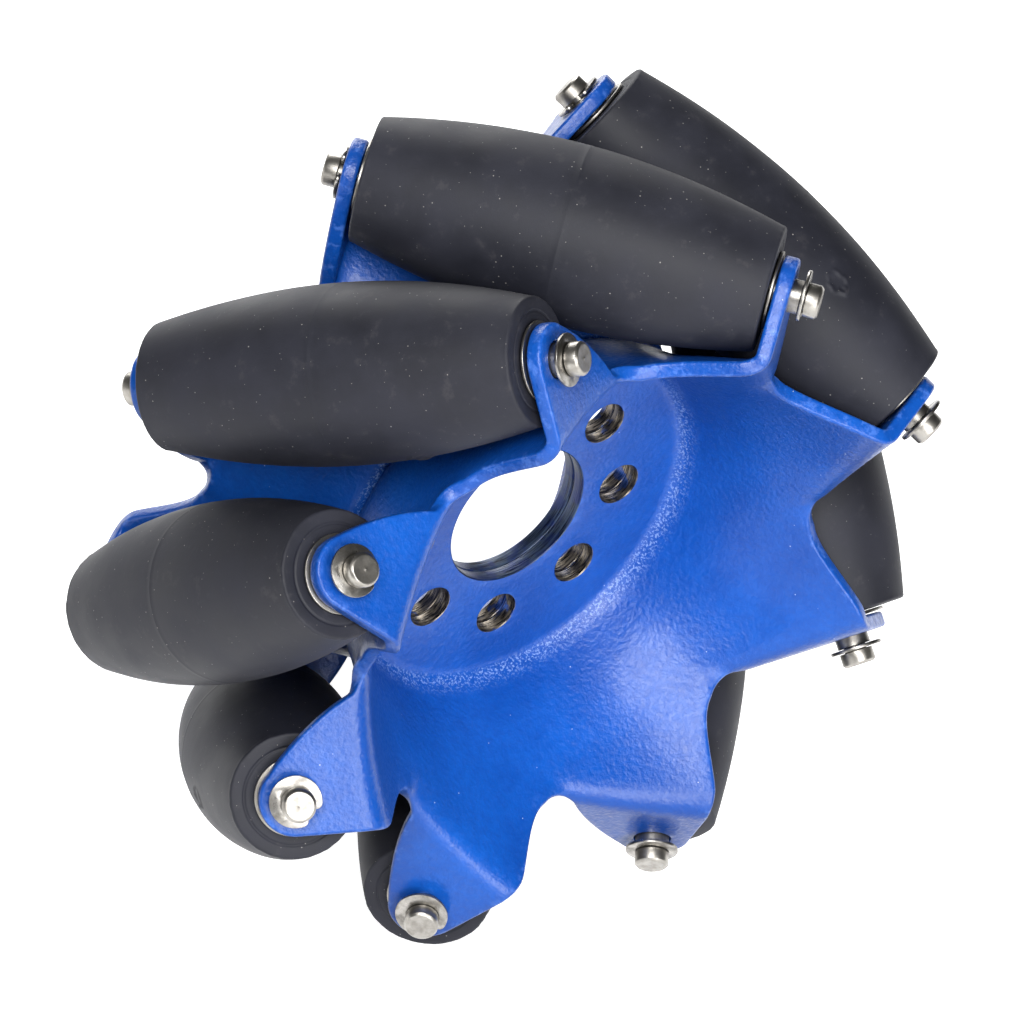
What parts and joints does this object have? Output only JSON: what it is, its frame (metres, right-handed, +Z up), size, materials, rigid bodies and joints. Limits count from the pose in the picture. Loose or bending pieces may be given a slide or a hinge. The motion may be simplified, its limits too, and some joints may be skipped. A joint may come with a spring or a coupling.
{
  "type": "mecanum wheel",
  "caption": "Omnidirectional wheel: pressed blue dishes back to back carry tilted free-spinning barrel rollers on clipped steel axles.",
  "frame": {"origin": "centre of the wheel, on its axis and midway between the two dishes", "axes": "+Y along the wheel's axis from front to back, +Z up through the middle of roller 1, +X right as seen from the front"},
  "size_m": [0.1524, 0.078, 0.1524],
  "materials": {
    "blue_powder_coat": "semi-gloss powder coat with an orange-peel texture",
    "rubber": "matt moulded rubber with fine dust",
    "core": "moulded nylon",
    "stainless": "turned stainless steel",
    "spring_steel": "stamped spring steel"
  },
  "bodies": {
    "root": {"front_dish": "blue_powder_coat", "back_dish": "blue_powder_coat", "axle_1": "stainless", "clip_1_front": "spring_steel", "washer_1_front": "stainless", "clip_1_back": "spring_steel", "washer_1_back": "stainless", "axle_2": "stainless", "clip_2_front": "spring_steel", "washer_2_front": "stainless", "clip_2_back": "spring_steel", "washer_2_back": "stainless", "axle_3": "stainless", "clip_3_front": "spring_steel", "washer_3_front": "stainless", "clip_3_back": "spring_steel", "washer_3_back": "stainless", "axle_4": "stainless", "clip_4_front": "spring_steel", "washer_4_front": "stainless", "clip_4_back": "spring_steel", "washer_4_back": "stainless", "axle_5": "stainless", "clip_5_front": "spring_steel", "washer_5_front": "stainless", "clip_5_back": "spring_steel", "washer_5_back": "stainless", "axle_6": "stainless", "clip_6_front": "spring_steel", "washer_6_front": "stainless", "clip_6_back": "spring_steel", "washer_6_back": "stainless", "axle_7": "stainless", "clip_7_front": "spring_steel", "washer_7_front": "stainless", "clip_7_back": "spring_steel", "washer_7_back": "stainless", "axle_8": "stainless", "clip_8_front": "spring_steel", "washer_8_front": "stainless", "clip_8_back": "spring_steel", "washer_8_back": "stainless"},
    "roller_1": {"roller_1_rubber": "rubber", "roller_1_core": "core"},
    "roller_2": {"roller_2_rubber": "rubber", "roller_2_core": "core"},
    "roller_3": {"roller_3_rubber": "rubber", "roller_3_core": "core"},
    "roller_4": {"roller_4_rubber": "rubber", "roller_4_core": "core"},
    "roller_5": {"roller_5_rubber": "rubber", "roller_5_core": "core"},
    "roller_6": {"roller_6_rubber": "rubber", "roller_6_core": "core"},
    "roller_7": {"roller_7_rubber": "rubber", "roller_7_core": "core"},
    "roller_8": {"roller_8_rubber": "rubber", "roller_8_core": "core"}
  },
  "joints": [
    {"name": "roller_1_spin", "type": "hinge", "parent": "root", "child": "roller_1", "pos_m": [0, 0, 0.0604], "axis": [0.6691, -0.7431, 0], "continuous": true},
    {"name": "roller_2_spin", "type": "hinge", "parent": "root", "child": "roller_2", "pos_m": [0.04271, 0, 0.04271], "axis": [0.4731, -0.7431, -0.4731], "continuous": true},
    {"name": "roller_3_spin", "type": "hinge", "parent": "root", "child": "roller_3", "pos_m": [0.0604, 0, 0], "axis": [0, -0.7431, -0.6691], "continuous": true},
    {"name": "roller_4_spin", "type": "hinge", "parent": "root", "child": "roller_4", "pos_m": [0.04271, 0, -0.04271], "axis": [-0.4731, -0.7431, -0.4731], "continuous": true},
    {"name": "roller_5_spin", "type": "hinge", "parent": "root", "child": "roller_5", "pos_m": [0, 0, -0.0604], "axis": [-0.6691, -0.7431, 0], "continuous": true},
    {"name": "roller_6_spin", "type": "hinge", "parent": "root", "child": "roller_6", "pos_m": [-0.04271, 0, -0.04271], "axis": [-0.4731, -0.7431, 0.4731], "continuous": true},
    {"name": "roller_7_spin", "type": "hinge", "parent": "root", "child": "roller_7", "pos_m": [-0.0604, 0, 0], "axis": [0, -0.7431, 0.6691], "continuous": true},
    {"name": "roller_8_spin", "type": "hinge", "parent": "root", "child": "roller_8", "pos_m": [-0.04271, 0, 0.04271], "axis": [0.4731, -0.7431, 0.4731], "continuous": true}
  ]
}
